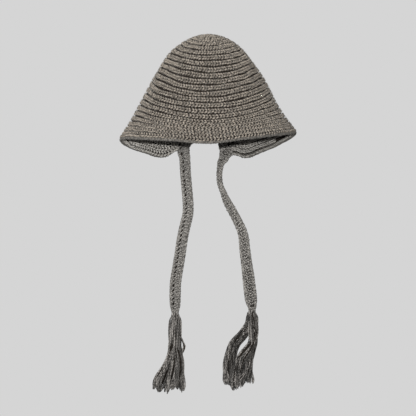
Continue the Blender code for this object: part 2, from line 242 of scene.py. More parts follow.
def add_node(tree, kind, output, inputs=None, **settings):
    """A new shader node with its inputs and settings; returns one of its outputs."""
    node = tree.nodes.new("ShaderNode" + kind)
    for name, value in settings.items():
        setattr(node, name, value)
    set_inputs(node, inputs or {})
    return node.outputs[output]


def two_tone(tree, factor, low, dark, high, light):
    """A colour that goes from dark to light as the factor goes from low to high."""
    colour = add_node(tree, "ValToRGB", "Color", {"Fac": factor})
    elements = colour.node.color_ramp.elements
    for element, place, tone in zip(elements, (low, high), (dark, light)):
        element.position, element.color = place, (*tone, 1)
    return colour


def new_material(name, inputs):
    """A material, its node tree and its shader, with some of the shader's inputs set."""
    material = bpy.data.materials.new(name)
    material.use_nodes = True
    shader = material.node_tree.nodes["Principled BSDF"]
    set_inputs(shader, inputs)
    return material, material.node_tree, shader


WOOL = {
    "Roughness": 0.92, "Specular IOR Level": 0.2,
    "Sheen Weight": 0.25, "Sheen Roughness": 0.6, "Sheen Tint": (0.80, 0.80, 0.78, 1),
}
PLY_CONTRAST = 0.35


def yarn_material(name, dark, light, ply_length, ply_share=1.0, grain=(1, 1, 1), ends=(0.30, 0.78)):
    """A matte wool of two plies. Colours are linear, ply_length is one turn of the twist, and
    grain stretches the noise, so that it can run along hanging strands."""
    material, tree, shader = new_material(name, WOOL)
    contrast = PLY_CONTRAST * ply_share
    uv = add_node(tree, "UVMap", "UV", uv_map="yarn")
    slant = (4 * math.pi / 10, 2 * math.pi / 10 / ply_length, 0)
    twist = add_node(tree, "Mapping", "Vector", {"Vector": uv, "Scale": slant})
    wave = {"Vector": twist, "Scale": 1.0, "Distortion": 0.0}
    plies = add_node(tree, "TexWave", "Fac", wave, bands_direction="DIAGONAL")
    place = add_node(tree, "TexCoord", "Object")
    stretch = add_node(tree, "Mapping", "Vector", {"Vector": place, "Scale": grain})
    tone = add_node(tree, "TexNoise", "Fac", {"Vector": stretch, "Scale": 260.0, "Detail": 3.0})
    rest = add_node(tree, "Math", "Value", {0: tone, 1: 1 - contrast}, operation="MULTIPLY")
    mix = {0: plies, 1: contrast, 2: rest}
    share = add_node(tree, "Math", "Value", mix, operation="MULTIPLY_ADD")
    bump = {"Height": plies, "Strength": 0.5, "Distance": 0.0006}
    set_inputs(shader, {
        "Base Color": two_tone(tree, share, ends[0], dark, ends[1], light),
        "Normal": add_node(tree, "Bump", "Normal", bump),
    })
    return material


# %% [markdown]
# The bell's two faces, its ribs, the hem, the ties and the tassels each have their own pair
# of plies. Several pairs are lighter or darker copies of one yarn in place of light: the
# inner face's lighter pair is painted light, and the darker pairs of the ribs, the hem, the
# right tassel and a tassel's deeper locks are painted shade. A tassel's strands have long
# streaks instead of twist.

# %% The yarns of the hat
PLY = 0.0065
STREAKS = (1.6, 1.6, 0.12)
# painted shade: a tassel's deeper locks get a darker copy of its yarn, the others a lighter one
DEEP_SHADE = 0.48  # how light a tassel's deeper locks are, as a share of the others
crown_yarn = yarn_material("crown_yarn", (0.080, 0.067, 0.052), (0.41, 0.357, 0.297), PLY)
# painted light: the inner face's yarn is a much lighter copy of the crown's, for flaps whose inner
# faces lie in shade
inside_yarn_painted_light = yarn_material("inside_yarn_painted_light", (0.27, 0.254, 0.228), (0.74, 0.71, 0.655), PLY)
# painted shade: a darker copy of the inner face's yarn, for the ribbed flap at +X, which gets less
# light
ribbed_yarn_painted_shade = yarn_material("ribbed_yarn_painted_shade", (0.15, 0.140, 0.125), (0.54, 0.518, 0.478), PLY)
# painted shade: the edging's yarn is a darker copy of the crown's, for the shade along the rim
hem_yarn_painted_shade = yarn_material("hem_yarn_painted_shade", (0.052, 0.047, 0.040), (0.21, 0.194, 0.172), PLY)
tie_yarn = yarn_material("tie_yarn", (0.052, 0.048, 0.043), (0.52, 0.494, 0.456), 0.0050)
tassel_yarns, painted_shade_yarns = {}, {}
# the right tassel's pair is darker than the left's: painted shade, as it hangs in less light
for side, dark, light, ends in (
    ("left", (0.035, 0.032, 0.029), (0.58, 0.543, 0.503), (0.42, 0.66)),
    ("right", (0.020, 0.018, 0.016), (0.53, 0.497, 0.462), (0.44, 0.68)),
):
    look = (0.006, 0.3, STREAKS, ends)
    tassel_yarns[side] = yarn_material(f"tassel_yarn_{side}", dark, light, *look)
    shade = tuple(DEEP_SHADE * c for c in light)
    painted_shade_yarns[side] = yarn_material(f"painted_shade_yarn_{side}", dark, shade, *look)
print("yarns of the tassels:", len(tassel_yarns) + len(painted_shade_yarns))

# %% [markdown]
# Deep between the loops the yarn is felted and in shadow: a dark, rough, uneven ground
# stands for it. Its near-black colour is painted shade.

# %% Material of the shadowed ground between loops
PAINTED_SHADE_COLOUR = (0.032, 0.026, 0.021)
MATTE = {"Roughness": 1.0, "Specular IOR Level": 0.1}
ground, tree, shader = new_material("shadowed_ground", MATTE)
place = add_node(tree, "TexCoord", "Object")
tone = add_node(tree, "TexNoise", "Fac", {"Vector": place, "Scale": 500.0})
dark = tuple(0.5 * c for c in PAINTED_SHADE_COLOUR)
set_inputs(shader, {"Base Color": two_tone(tree, tone, 0.35, dark, 0.70, PAINTED_SHADE_COLOUR)})
print("ground between loops:", ground.name)

# %% [markdown]
# ## Many tubes in one mesh
# Thousands of loops as single objects would be slow, and a curve object has no simple way
# to lie flat on a surface. One function turns a stack of paths into one mesh of closed
# tubes, and writes the coordinates that the yarn's plies follow.

# %% Tubes along many paths
def tube_arrays(paths, radii, up, sides):
    """Corners, faces and yarn coordinates of closed tubes. paths is (tube, point, 3), and
    radii and up may be the same for all of them."""
    paths = np.asarray(paths)
    count, points = paths.shape[:2]
    radii = np.broadcast_to(radii, (count, points))
    along = unit(np.gradient(paths, axis=1))
    side = unit(np.cross(along, up))
    top = np.cross(side, along)
    turn = 2 * np.pi * np.arange(sides) / sides
    ring = side[:, :, None] * np.cos(turn)[:, None] + top[:, :, None] * np.sin(turn)[:, None]
    corners = paths[:, :, None] + ring * radii[:, :, None, None]
    index = np.arange(count * points * sides).reshape(count, points, sides)
    ahead = np.roll(index, -1, axis=2)
    quads = np.stack([index[:, :-1], ahead[:, :-1], ahead[:, 1:], index[:, 1:]], axis=-1)
    step = np.linalg.norm(np.diff(paths, axis=1), axis=2)
    length = np.concatenate([np.zeros((count, 1)), np.cumsum(step, axis=1)], axis=1)
    length = length + rng.uniform(0, 0.05, (count, 1))
    u = np.broadcast_to(np.arange(sides) / sides, (count, points - 1, sides))
    low = np.broadcast_to(length[:, :-1, None], u.shape)
    high = np.broadcast_to(length[:, 1:, None], u.shape)
    next_u = u + 1 / sides
    corner_uvs = ((u, low), (next_u, low), (next_u, high), (u, high))
    uv = np.stack([np.stack(pair, -1) for pair in corner_uvs], axis=3)
    caps = np.concatenate([index[:, 0, ::-1], index[:, -1]])
    return corners.reshape(-1, 3), quads.reshape(-1, 4), caps, uv.reshape(-1, 2)


def mesh_piece(name, corners, faces, materials, slots=None):
    """A mesh object that rides on the hat. The slots say which material each face has."""
    mesh = bpy.data.meshes.new(name)
    mesh.from_pydata(corners, [], faces)
    for material in materials:
        mesh.materials.append(material)
    if slots:
        mesh.polygons.foreach_set("material_index", slots)
    mesh.shade_smooth()
    piece = new_object(name, mesh)
    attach(piece, "root")
    return piece


def tube_piece(name, *strands):
    """A piece of closed tubes. Each of the strands is paths, radii, the tubes' upward
    direction, a material and a number of sides."""
    corners, faces, uvs, slots, materials = [], [], [], [], []
    for paths, radii, up, material, sides in strands:
        points, quads, caps, uv = tube_arrays(paths, radii, up, sides)
        start = len(corners)
        corners += points.tolist()
        faces += (quads + start).tolist() + (caps + start).tolist()
        uvs += [uv, np.zeros((caps.size, 2))]
        if material not in materials:
            materials.append(material)
        slots += [materials.index(material)] * (len(quads) + len(caps))
    piece = mesh_piece(name, corners, faces, materials, slots)
    layer = piece.data.uv_layers.new(name="yarn")
    layer.data.foreach_set("uv", np.concatenate(uvs).astype(np.float32).ravel())
    print(f"{name}: {sum(len(face) - 2 for face in faces)} triangles")
    return piece


# %% [markdown]
# ## The ground of the bell
# Behind the loops a real knit has more yarn, deep in shadow. A thin shell, a little inside
# the fabric's two faces, closes the view between loops; its near-black colour is painted
# shade. It is a grid wrapped round the hat and given its thickness by Solidify.

# %% Ground shell
GROUND_DEPTH = 0.0018  # below the fabric's outer face
GROUND_THICKNESS = 0.0012
GROUND_ROWS = 46
GROUND_COLUMNS = 144


def ring_quads(rings, columns):
    """Faces that join rings of corners."""
    index = np.arange(rings * columns).reshape(rings, columns)
    ahead = np.roll(index, -1, axis=1)
    quads = np.stack([index[:-1], index[1:], ahead[1:], ahead[:-1]], axis=-1)
    return quads.reshape(-1, 4).tolist()


def ground_shell():
    """The grid, with its top corner in the middle of the crown."""
    rows = np.linspace(0.0, 1.0, GROUND_ROWS + 1)[1:]
    angles = np.linspace(0.0, 360.0, GROUND_COLUMNS, endpoint=False)
    place, _, _, outward = fabric_frame(rows[:, None], angles[None, :])
    corners = (place - outward * GROUND_DEPTH).reshape(-1, 3)
    top = bell_surface(0.0, 0.0) - np.array([0, 0, GROUND_DEPTH])
    crown = [(len(corners), a, (a + 1) % GROUND_COLUMNS) for a in range(GROUND_COLUMNS)]
    faces = ring_quads(GROUND_ROWS, GROUND_COLUMNS) + crown
    piece = mesh_piece("bell_ground", [*corners.tolist(), top.tolist()], faces, [ground])
    thickness = piece.modifiers.new("thickness", "SOLIDIFY")
    thickness.thickness = GROUND_THICKNESS
    thickness.offset = -1.0
    return piece


bell_ground = ground_shell()
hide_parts("bell")
print(f"bell_ground: {len(bell_ground.data.polygons)} faces before Solidify")

# %% [markdown]
# ## The rows of stitches
# Each knitted row is a braid of V-shaped stitches that point round the hat, with a groove
# above and below. A V is two short tubes: one climbs from the V's point towards the groove
# above, the other goes down to the groove below. The stitches of a row are spread evenly
# along the row's own length, so they keep their size from the crown to the brim, and each
# is nudged a little, because hands don't knit like a machine. Where the rows are pulled
# apart by the flaps, each row becomes two, as a knitter adds short rows to shape a flap.

# %% Where the stitches go
CROWN_STITCH = 0.0050  # a stitch's width at the crown
BRIM_STITCH = 0.0062
TALL_ROW = 0.0135  # a row taller than this becomes two
ROW_SAG = 0.016  # of all rows: how far a row sags at the front, beyond the bell's own sag
ROW_WANDER = 0.003
LAST_ROW_EXTRA = 0.0034  # how much longer the last row is, to meet the edging


def smooth_step(low, high, value):
    t = np.clip((value - low) / (high - low), 0.0, 1.0)
    return t * t * (3 - 2 * t)


def knitted_row(row, angle):
    """Where a knitted row lies on the fabric: it sags at the front and wanders a little."""
    turn = np.radians(angle)
    front = np.maximum(0.0, np.cos(turn)) ** 2
    wander = np.sin(3 * turn + 17 * row) + 0.6 * np.sin(5 * turn - 31 * row)
    wander += 0.5 * np.sin(11 * turn + 53 * row)
    return row + 4 * row * (1 - row) * (ROW_SAG * front + ROW_WANDER * wander)


def evenly_round(row, width):
    """Angles that split a row into stitches of about the same width, and that width."""
    angles = np.linspace(0.0, 360.0, 1441)
    line = bell_surface(knitted_row(row, angles), angles)
    along = np.concatenate([[0], np.cumsum(np.linalg.norm(np.diff(line, axis=0), axis=1))])
    count = max(6, round(along[-1] / width))
    places = (np.arange(count) + rng.uniform()) / count * along[-1]
    return np.interp(places, along, angles), along[-1] / count


def lay_stitches():
    """Row, angle, width, height and drop of every stitch."""
    found = []
    half = 0.5 / ROW_COUNT
    for ridge in range(ROW_COUNT):
        row = (ridge + 0.5) / ROW_COUNT
        wish = CROWN_STITCH + (BRIM_STITCH - CROWN_STITCH) * smooth_step(0.45, 0.80, row)
        angles, width = evenly_round(row, wish)
        above = bell_surface(knitted_row(row - half, angles), angles)
        below = bell_surface(knitted_row(row + half, angles), angles)
        height = np.linalg.norm(below - above, axis=1)
        tall = height > TALL_ROW
        for shift, share, chosen in ((0, 1, ~tall), (-half / 2, 0.5, tall), (half / 2, 0.5, tall)):
            place = knitted_row(row + shift, angles[chosen])
            extra = LAST_ROW_EXTRA * (ridge == ROW_COUNT - 1 and shift >= 0)
            block = (place, angles[chosen], width, height[chosen] * share + extra, extra / 2)
            found.append(np.stack(np.broadcast_arrays(*block), axis=1))
    return np.concatenate(found)


stitches = lay_stitches()
print(f"{len(stitches)} stitches on each face of the bell")

# %% [markdown]
# In the lower part of the front the grooves close and the braids lie side by side, while
# at the crown and the sides they stay deep. A smooth function of row and angle says how
# closed a groove is.

# %% V-shaped stitches on the outer face
ARM_STEPS = 5
ARM_RADIUS = 0.00176
BRIM_ROW = 0.62  # where the brim's piece begins
RIBBED = 0.9  # how flat the arms lie along the rows on the ribbed flap's inner face
RIBBED_FROM, RIBBED_TO = (95.0, 118.0), (168.0, 176.0)  # where the ribs fade in and out


def groove_closed(row, angle):
    """0 where the groove beside a row is deep, 1 where it has closed."""
    from_front = np.abs(degrees_off(angle, 0.0))
    start = 0.70 + 0.16 * smooth_step(20.0, 80.0, from_front)
    return smooth_step(start, start + 0.14, row)


def v_arms(places, face, radius, steps):
    """Paths, radii and up of both arms of every V. face is 1 outside, -1 on the inner face."""
    row, angle, width, height, drop = places.T
    place, around, down, outward = fabric_frame(row, angle)
    place = place - outward * (WALL * 0.5 * (1 - face)) + down * drop[:, None]
    around, outward = around * face, outward * face
    closed = np.maximum(groove_closed(row, angle), 0.45 * (1 - face))[:, None]
    ribbed = smooth_step(*RIBBED_FROM, angle) * (1 - smooth_step(*RIBBED_TO, angle))
    ribbed = (RIBBED * (1 - face) / 2 * ribbed)[:, None]
    t = np.linspace(0.0, 1.0, steps)
    paths, sizes = [], []
    for way in (-1, 1):
        nudge = rng.normal(0, 1, (3, len(row), 1))
        v_across = 0.40 - 0.74 * t**1.3
        across = (v_across + (0.8 - 1.6 * t - v_across) * ribbed) * width[:, None]
        across += nudge[0] * 0.00022
        reach = 0.318 + 0.105 * closed + 0.018 * nudge[1]
        v_reach = 0.060 + (reach - 0.060) * t
        rib = 0.28 + 0.05 * (drop[:, None] > 0)
        lengthwise = way * (v_reach + (rib - v_reach) * ribbed) * height[:, None]
        lengthwise += nudge[1] * 0.00012
        sink = 0.0016 - 0.0009 * np.maximum(closed, ribbed)
        lift = -0.0006 + 0.0016 * np.sin(np.pi * (0.05 + 0.75 * t)) - sink * t**2
        lift += nudge[2] * 0.00016
        path = place[:, None] + around[:, None] * across[..., None]
        path = path + down[:, None] * lengthwise[..., None] + outward[:, None] * lift[..., None]
        shape = 0.40 + 0.62 * np.sin(np.pi * (0.08 + 0.84 * t)) ** 0.7
        fit = np.minimum(1.0, height / 0.0088)[:, None]
        paths.append(path)
        sizes.append(radius * shape[None, :] * fit * (1 + 0.05 * nudge[1]))
    up = np.concatenate([outward, outward])[:, None]
    return np.concatenate(paths), np.concatenate(sizes), up


HALVES = {"crown": stitches[:, 0] < BRIM_ROW, "brim": stitches[:, 0] >= BRIM_ROW}
for half, chosen in HALVES.items():
    arms = v_arms(stitches[chosen], 1, ARM_RADIUS, ARM_STEPS)
    piece = tube_piece(f"{half}_stitches", (*arms, crown_yarn, 6))

# %% [markdown]
# ## The inner face
# The far side of the brim shows its inner face below the near rim, so the same stitches
# go there too, turned inwards and with fewer corners. On the flap at +X their arms lie
# flat along the rows, so that this flap shows long ribs. The inner face's yarn is a much
# lighter copy of the crown's, which is painted light, and the ribbed flap's is darker
# again, which is painted shade.

# %% V-shaped stitches on the inner face
INNER_RADIUS = ARM_RADIUS * 1.10
RIBBED_SHADE_ANGLES = (104, 172)  # the angles between which the yarn of the ribs is used
RIBBED_SHADE_ROW = 0.75

row, angle = stitches[:, :2].T
# the ribbed flap's lower rows get the darker yarn of painted shade
ribbed = (angle > RIBBED_SHADE_ANGLES[0]) & (angle < RIBBED_SHADE_ANGLES[1]) & (row > RIBBED_SHADE_ROW)
for half, chosen in HALVES.items():
    strands = []
    for places, yarn in ((chosen & ~ribbed, inside_yarn_painted_light), (chosen & ribbed, ribbed_yarn_painted_shade)):
        if places.any():
            strands.append((*v_arms(stitches[places], -1, INNER_RADIUS, 4), yarn, 5))
    piece = tube_piece(f"inner_{half}_stitches", *strands)

# %% [markdown]
# ## The rolled edging
# A strand is worked round the hem, so its edge looks like a soft rope. Short arcs of yarn
# lean round a hidden core, each from the outer face round the bottom to the inner face.

# %% Edging of the hem
EDGING_RADIUS = 0.0030
CLEARANCE = 0.0003
WRAP_PITCH = 0.0043
WRAP_RADIUS = 0.0015
HEM_CORE, HEM_SEAM = 0.0024, 0.0013  # radii of the two hidden tubes
SEAM_INSET = 0.0009


def edging_frame(angle):
    """The middle of the edging and its three directions, round the whole hem."""
    place, around, down, outward = fabric_frame(1.0, angle)
    middle = place - outward * WALL / 2 + down * (EDGING_RADIUS + CLEARANCE)
    return middle, around, down, outward


def hem_wraps():
    """Short leaning arcs of yarn round the edging's core."""
    angles, _ = evenly_round(1.0, WRAP_PITCH)
    middle, around, down, outward = edging_frame(angles)
    turn = np.radians(np.linspace(-75, 255, 8))
    ring = EDGING_RADIUS - WRAP_RADIUS
    slant = np.linspace(-0.5, 0.5, 8) * WRAP_PITCH * 0.9
    path = middle[:, None] + outward[:, None] * (ring * np.cos(turn))[None, :, None]
    path = path + down[:, None] * (ring * np.sin(turn))[None, :, None]
    path = path + around[:, None] * slant[None, :, None]
    path = path + rng.normal(0, 0.00018, (len(angles), 1, 3))
    swell = 0.8 + 0.2 * np.sin(np.linspace(0, np.pi, 8))
    return path, WRAP_RADIUS * swell, around[:, None]


def hem_core():
    """Two tubes round the whole hem: one under the wraps, one where the inner face meets them."""
    middle, _, down, outward = edging_frame(np.linspace(0, 360, 361))
    seam = middle - outward * (WALL / 2 - SEAM_INSET) - down * (EDGING_RADIUS + SEAM_INSET)
    return np.stack([middle, seam]), [[HEM_CORE], [HEM_SEAM]], outward


# the edging and its hidden tubes take the hem's darker yarn of painted shade
edging = tube_piece("edging_wraps", (*hem_wraps(), hem_yarn_painted_shade, 6), (*hem_core(), hem_yarn_painted_shade, 6))
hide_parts("hem_edging")

# %% [markdown]
# ## The ties
# Each tie is a knitted strap that hangs from a flap. Its route is a short list of points
# along the strap, as shares of how far it drops. A smooth curve through them carries a
# frame: along, across and out of the strap. The right tie turns edge-on near its top, so
# its frame turns too. Simulated cloth would hang straighter than these.

# %% Routes of the ties
TIE_WIDTH = 0.020
TIE_THICKNESS = 0.0105
TIE_DROP = {"left": 0.301, "right": 0.287}
TIE_ROOT_ANGLE = {"left": 197.2, "right": 167.0}
TIE_ROUTES = {  # points of (across, down), in ten-thousandths of the drop
    "left": (
        (0, 0), (2, 140), (62, 370), (92, 860), (114, 1340), (156, 1850), (200, 2360),
        (244, 2840), (274, 3320), (266, 3850), (164, 4350), (43, 4840), (-62, 5350),
        (-145, 5860), (-212, 6340), (-294, 6850), (-378, 7360), (-459, 7840), (-513, 8320),
        (-528, 8840), (-530, 9400), (-530, 10000),
    ),
    "right": (
        (0, 0), (-10, 120), (-222, 470), (-290, 840), (-325, 1260), (-310, 1600), (-225, 1990),
        (-85, 2320), (165, 2930), (400, 3370), (640, 3820), (880, 4290), (1100, 4770),
        (1240, 5280), (1300, 5900), (1360, 6400), (1430, 6940), (1505, 7480), (1565, 7980),
        (1625, 8480), (1715, 9250), (1790, 9780), (1792, 10000),
    ),
}
TIE_SHAPE = {
    "left": (
        # share of the drop, width share, turn in degrees
        (0, 1.16, 0), (0.06, 1, 0), (0.90, 1.04, 0), (0.96, 0.94, 0), (1, 0.62, 0),
    ),
    "right": (
        (0, 1.05, 30), (0.06, 1, 68), (0.11, 1, 84), (0.20, 1, 80), (0.30, 1, 48),
        (0.45, 1, 32), (0.68, 1.04, 6), (0.93, 1.14, 0), (1, 0.62, 0),
    ),
}
print("drop in metres:", TIE_DROP)

# %% [markdown]
# A route starts at the hem: its first point lies just under the edging.

# %% The middle line of a tie
def tie_root(side):
    """The middle of a tie's top end, just under the edging."""
    half_turn = math.degrees(0.65 * TIE_WIDTH / RIM_HALF_WIDTH)
    angles = TIE_ROOT_ANGLE[side] + half_turn * np.arange(-4, 5) / 4
    across = edging_frame(angles)[0]
    return np.array([*across[4, :2], across[:, 2].min() - EDGING_RADIUS - CLEARANCE])


def tie_line(side, shares):
    """Points of a tie's middle line at shares of the way along its route."""
    route = [(i, x / 10000, z / 10000) for i, (x, z) in enumerate(TIE_ROUTES[side])]
    places = np.asarray(shares) * (len(route) - 1)
    across, down = read_table(route, places, 1), read_table(route, places, 2)
    offset = np.stack([across, np.zeros_like(across), -down], axis=-1)
    return tie_root(side) + offset * TIE_DROP[side], down


def tie_foot(side):
    """Where a tie's middle line ends and its binding begins."""
    return tie_line(side, np.ones(1))[0][0]


print("feet:", *(np.round(tie_foot(side), 3) for side in ("left", "right")))

# %% [markdown]
# The strap doesn't end at the hem. Its top runs up inside the flap and widens there, as if
# it were knitted on to it.

# %% The frame of a strap
TIE_RISE = 0.026  # how far a tie runs up inside its flap
TIE_INSET = 0.0065  # how far it lies inwards there, besides its slant
RISE_LEAN = {"left": -0.005, "right": 0.008}  # how far the risen end lies to the side
RISE_WIDTH = {"left": 1.30, "right": 1.35}


def strap_line(side):
    """Points, width shares and turns of the whole strap, from its risen end to the binding."""
    line, down = tie_line(side, np.linspace(0, 1, 400))
    width, turn = read_table(TIE_SHAPE[side], down, 1), read_table(TIE_SHAPE[side], down, 2)
    rise = np.linspace(1, 0, 60)[:-1]
    inwards = TIE_INSET * smooth_step(0.0, 0.3, rise) + 0.42 * TIE_RISE * rise
    offset = np.stack([RISE_LEAN[side] * rise, -inwards, TIE_RISE * rise], axis=-1)
    width = np.concatenate([width[0] + (RISE_WIDTH[side] - width[0]) * rise, width])
    turn = np.concatenate([turn[0] * (1 - smooth_step(0.0, 0.6, rise)), turn])
    return np.concatenate([line[0] + offset, line]), width, turn


def strap_frame(side, along):
    """Place, along, across, out and half width of the strap, at lengths from its risen end."""
    line, width, turn = strap_line(side)
    length = np.concatenate([[0], np.cumsum(np.linalg.norm(np.diff(line, axis=0), axis=1))])
    along = np.clip(along, 0, length[-1])
    place = np.stack([np.interp(along, length, line[:, i]) for i in range(3)], axis=-1)
    slope = np.gradient(line, length, axis=0)
    tangent = unit(np.stack([np.interp(along, length, slope[:, i]) for i in range(3)], axis=-1))
    turn = np.radians(np.interp(along, length, turn))[..., None]
    flat = unit(np.array([1.0, 0, 0]) - tangent * tangent[..., :1])
    front = np.cross(tangent, flat)
    across = flat * np.cos(turn) + front * np.sin(turn)
    out = front * np.cos(turn) - flat * np.sin(turn)
    return place, tangent, across, out, TIE_WIDTH / 2 * np.interp(along, length, width), length[-1]


for side in ("left", "right"):
    hanging = strap_frame(side, np.zeros(1))[-1] - TIE_RISE
    print(f"tie_{side}: {hanging * 1000:.0f} mm from hem to binding")

# %% [markdown]
# A strap like this is knitted lengthwise. Plump loops lie side by side in columns. On the
# left tie a ladder of slanting slits runs off its middle, where two columns pull apart; on
# the right one small gaps show between all columns. So each column is a row of leaning
# tubes at its own place across the strap, on the front and on the back.

# %% Stitches of the ties
COLUMNS = {
    # from, to (across), lean, spacing, radius, lift
    "left": (
        (-0.96, -0.60, -0.0042, 0.0044, 0.00155, -0.0002),
        (-0.86, -0.58, 0.0030, 0.0042, 0.00135, 0.0003),
        (-0.70, -0.04, 0.0076, 0.0086, 0.00140, -0.0002),
        (-0.10, 0.28, 0.0042, 0.0049, 0.00145, 0.0003),
        (0.16, 0.64, 0.0042, 0.0049, 0.00148, 0.0001),
        (0.52, 0.94, -0.0052, 0.0048, 0.00150, -0.0005),
    ),
    "right": (
        (-0.96, -0.60, -0.0042, 0.0044, 0.00155, -0.0002),
        (-0.74, -0.30, 0.0040, 0.0052, 0.00142, 0.0001),
        (-0.38, 0.02, -0.0040, 0.0052, 0.00142, 0.0002),
        (-0.06, 0.36, 0.0040, 0.0052, 0.00142, 0.0002),
        (0.28, 0.68, -0.0040, 0.0052, 0.00142, 0.0001),
        (0.58, 0.94, 0.0042, 0.0046, 0.00150, -0.0003),
    ),
}
EDGE_INSET = 0.0005  # how far the loops keep inside the strap's half width


def strap_stitches(side, face):
    """Paths, radii and up of the loops on one face of a strap; face is 1 for the front."""
    total = strap_frame(side, np.zeros(1))[-1]
    t = np.linspace(0, 1, 7)
    paths, sizes, ups = [], [], []
    for start, end, lean, spacing, radius, lift in COLUMNS[side]:
        middles = np.arange(spacing * rng.uniform(0.3, 0.9), total - 0.007, spacing)
        nudge = rng.normal(0, 0.0003, (3, len(middles), 1))
        along = middles[:, None] + lean * (0.5 - t) * 1.25 + nudge[0]
        place, _, across, out, half, _ = strap_frame(side, along)
        share = start + (end - start) * t + nudge[1] / 0.008
        bulge = TIE_THICKNESS / 2 * (1 - np.abs(np.clip(share, -1, 1)) ** 2.6) ** 0.5
        height = bulge + lift - 0.0025 + 0.0012 * np.sin(np.pi * t) + nudge[2]
        path = place + across * (face * share * (half - EDGE_INSET))[..., None]
        paths.append(path + out * (face * height)[..., None])
        shape = 0.30 + 0.70 * np.sin(np.pi * (0.06 + 0.88 * t)) ** 0.7
        sizes.append(radius * shape * np.ones_like(along))
        ups.append(out * face)
    return np.concatenate(paths), np.concatenate(sizes), np.concatenate(ups)


print("columns on each face:", *(len(columns) for columns in COLUMNS.values()))

# %% [markdown]
# Two yarns down each edge draw the ends of the loops together. Inside, a flattened tube
# stands for the rest of the yarn, with a groove along each face whose faces take the dark
# ground's colour as painted shade. At the foot a few end yarns run on into the tassel.

# %% Edges, core and neck of a strap
EDGE_PLACE, EDGE_HEIGHT, EDGE_RADIUS = 0.90, 0.0008, 0.0014
EDGE_WAVE, EDGE_PITCH = 0.0003, 0.0096
PHASE = 6.3  # waves start anywhere in about a full turn
CORE_RINGS = 100
CORE_SIDES = 32
CORE_INSET = 0.0012
GROOVE = {  # across a strap's core, as shares of its half width; the depth is of its thickness
    # middle, half width, depth
    "left": (-0.36, 0.24, 0.58),
    "right": (0.0, 0.56, 0.24),
}
NECK_LENGTH = 0.014  # how far the strap's end yarns run on into the tassel's head
TO_EYE = np.array([0.0, -1.0, 0.0])  # out of a hanging bundle, towards the eye


def strap_edges(side):
    """Paths, radii and up of the yarns along both edges of a strap."""
    along = np.linspace(0.0, strap_frame(side, np.zeros(1))[-1], 200)
    place, _, across, out, half, _ = strap_frame(side, along)
    paths = []
    for edge in (-EDGE_PLACE, EDGE_PLACE):
        for height in (EDGE_HEIGHT, -EDGE_HEIGHT):
            wave = rng.uniform(0, PHASE) + along * 2 * np.pi / EDGE_PITCH
            aside = edge * (half - EDGE_INSET) + EDGE_WAVE * np.sin(wave)
            lift = height + EDGE_WAVE * np.cos(wave)
            paths.append(place + across * aside[:, None] + out * lift[:, None])
    return paths, EDGE_RADIUS, out


def strap_core(side):
    """Corners and faces of the yarn deep in a strap: a flattened tube, with a groove along
    each face where the columns part, and which of its faces lie in a groove."""
    total = strap_frame(side, np.zeros(1))[-1]
    place, _, across, out, half, _ = strap_frame(side, np.linspace(0.0, total, CORE_RINGS))
    turn = 2 * np.pi * np.arange(CORE_SIDES) / CORE_SIDES
    middle, width, depth = GROOVE[side]
    aside = np.cos(turn) * np.sign(np.sin(turn) + 1e-9) - middle
    share = 0.66 - depth * np.exp(-((aside / width / 0.7) ** 2))
    height = np.sin(turn) * TIE_THICKNESS / 2 * share
    ring = across[:, None] * (np.cos(turn)[None, :] * (half[:, None] - CORE_INSET))[..., None]
    ring = ring + out[:, None] * height[None, :, None]
    grooved = np.tile(np.abs(aside + np.roll(aside, -1)) / 2 < width, CORE_RINGS - 1)
    return (place[:, None] + ring).reshape(-1, 3), ring_quads(CORE_RINGS, CORE_SIDES), grooved


def strap_neck(side):
    """The strap's end yarns, which run through the binding into the tassel's head."""
    foot, t = tie_foot(side), np.linspace(0, 1, 6)[:, None]
    paths = [foot + (x, y, 0.006) - t * (x * 0.2, y * 0.2, NECK_LENGTH + 0.006)
             for x in (-0.0034, 0.0, 0.0034) for y in (-0.0018, 0.0018)]
    return paths, 0.0017, TO_EYE


# %% [markdown]
# Where a flap meets its tie, the flap's last rows curve down into the strap's outer edge.
# A few yarns bent round that corner stand for them.

# %% Yarns between flap and tie
FILLET_YARNS = 4


def flap_fillet(side):
    """Paths, radii and up of the yarns that curve from the hem into a strap's edge."""
    way = {"left": 1, "right": -1}[side]
    t = np.linspace(0, 1, 9)[:, None]
    paths = []
    for yarn in range(FILLET_YARNS):
        angle = TIE_ROOT_ANGLE[side] + way * (4.6 + 0.9 * yarn)
        along = TIE_RISE - 0.003 + 0.0022 * yarn
        middle, _, _, outward = edging_frame(np.array([angle]))
        start = middle[0] - outward[0] * 0.0035 + np.array([0, 0, 0.004 - 0.0006 * yarn])
        place, tangent, across, _, half, _ = strap_frame(side, np.array([along]))
        edge = place[0] - across[0] * (way * (half[0] - 0.0016))
        corner = edge - tangent[0] ** 2 @ (edge - start)
        corner = corner * 0.75 + (edge + start) / 2 * 0.25
        paths.append((1 - t) ** 2 * start + 2 * t * (1 - t) * corner + t**2 * edge)
    return paths, 0.00125, TO_EYE


# %% [markdown]
# All tubes of a tie become one mesh, and the core another that moves with it.

# %% A strap's two pieces
def strap_piece(side):
    """A strap's loops with its edge and end yarns, and its core."""
    name = f"knitted_tie_{side}"
    parts = [strap_stitches(side, 1), strap_stitches(side, -1), strap_edges(side), strap_neck(side)]
    piece = tube_piece(name, *((*part, tie_yarn, 6) for part in parts))
    corners, quads, grooved = strap_core(side)
    first, last = np.arange(CORE_SIDES), np.arange(CORE_SIDES)[::-1] + len(corners) - CORE_SIDES
    faces = quads + [first.tolist(), last.tolist()]
    # the groove's faces take the dark ground's colour: painted shade
    slots = [*grooved.astype(int).tolist(), 0, 0]
    core = mesh_piece(name + "_core", corners.tolist(), faces, [tie_yarn, ground], slots)
    core.data.uv_layers.new(name="yarn")
    print(f"{core.name}: {len(faces)} faces")
    return piece, core


# %% [markdown]
# ## The tassels
# A tassel is a bundle of cut yarn, tied at its neck. The locks that the eye sees are
# groups of strands that cling together, so each lock has a drawn route.

